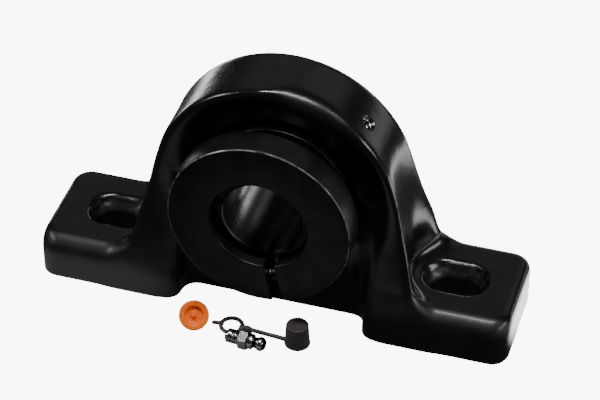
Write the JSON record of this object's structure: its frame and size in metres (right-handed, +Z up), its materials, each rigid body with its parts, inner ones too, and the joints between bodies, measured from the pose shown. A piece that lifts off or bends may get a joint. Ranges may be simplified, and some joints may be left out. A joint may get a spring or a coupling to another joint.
{
  "type": "pillow block bearing unit",
  "caption": "Cast pillow block with a self-aligning ball bearing insert, a split clamp collar on its slotted inner ring, and a loose grease fitting, rubber cap and port plug.",
  "frame": {"origin": "centre of the foot's flat underside", "axes": "+X along the foot, the shaft axis along Y with the clamp collar at -Y, +Z up"},
  "size_m": [0.2364, 0.0859, 0.1277],
  "materials": {
    "gloss_black_paint": "gloss black paint over cast iron",
    "bearing_steel": "ground",
    "flinger_steel": "pressed sheet",
    "screw_steel": "plain steel",
    "black_oxide": "turned, black oxide",
    "zinc_plate": "bright zinc plate",
    "seal_rubber": "moulded",
    "cap_rubber": "moulded, matt",
    "cage_nylon": "moulded",
    "orange_plastic": "moulded"
  },
  "bodies": {
    "housing": {"housing": "gloss_black_paint"},
    "pin_carrier": {"locating_pin": "bearing_steel"},
    "outer_race": {"outer_ring": "bearing_steel", "front_seal": "seal_rubber", "rear_seal": "seal_rubber"},
    "inner_race": {"inner_ring": "bearing_steel", "front_flinger": "flinger_steel", "rear_flinger": "flinger_steel"},
    "ball_set": {"cage": "cage_nylon", "ball_1": "bearing_steel", "ball_2": "bearing_steel", "ball_3": "bearing_steel", "ball_4": "bearing_steel", "ball_5": "bearing_steel", "ball_6": "bearing_steel", "ball_7": "bearing_steel", "ball_8": "bearing_steel", "ball_9": "bearing_steel"},
    "collar": {"clamp_collar": "black_oxide"},
    "screw": {"clamp_screw": "screw_steel"},
    "fitting": {"fitting_body": "zinc_plate", "check_spring": "bearing_steel"},
    "valve": {"check_ball": "bearing_steel"},
    "rubber_cap": {"grease_cap": "cap_rubber"},
    "plug": {"port_plug": "orange_plastic"}
  },
  "joints": [
    {"name": "insert_tilt", "type": "hinge", "parent": "housing", "child": "pin_carrier", "pos_m": [0, 0, 0.0695], "axis": [1, 0, 0], "range_deg": [-3, 3]},
    {"name": "insert_yaw", "type": "hinge", "parent": "pin_carrier", "child": "outer_race", "pos_m": [0, 0, 0.0695], "axis": [0, 0, 1], "range_deg": [-3, 3]},
    {"name": "shaft_spin", "type": "hinge", "parent": "outer_race", "child": "inner_race", "pos_m": [0, 0, 0.0695], "axis": [0, -1, 0], "continuous": true},
    {"name": "ball_set_spin", "type": "hinge", "parent": "outer_race", "child": "ball_set", "pos_m": [0, 0, 0.0695], "axis": [0, -1, 0], "continuous": true},
    {"name": "collar_slide", "type": "slide", "parent": "inner_race", "child": "collar", "axis": [0, -1, 0], "range_m": [0, 0.02]},
    {"name": "screw_turn", "type": "hinge", "parent": "collar", "child": "screw", "pos_m": [0.0181, -0.0352, 0.03869], "axis": [0.9763, 0, 0.2164], "continuous": true},
    {"name": "fitting_lift", "type": "slide", "parent": "housing", "child": "fitting", "axis": [0, 0, 1], "range_m": [0, 0.012]},
    {"name": "valve_travel", "type": "slide", "parent": "fitting", "child": "valve", "axis": [-0.9956, 0.0941, 0], "range_m": [0, 0.0007], "stiffness_N_per_m": 4, "springref_m": -0.0005, "deforming": ["check_spring"]},
    {"name": "cap_lift", "type": "slide", "parent": "housing", "child": "rubber_cap", "axis": [0, 0, 1], "range_m": [0, 0.012]},
    {"name": "plug_lift", "type": "slide", "parent": "housing", "child": "plug", "axis": [0, 0, 1], "range_m": [0, 0.018]}
  ],
  "couplings": [
    {"joint": "ball_set_spin", "follows": "shaft_spin", "ratio": 0.39417}
  ]
}
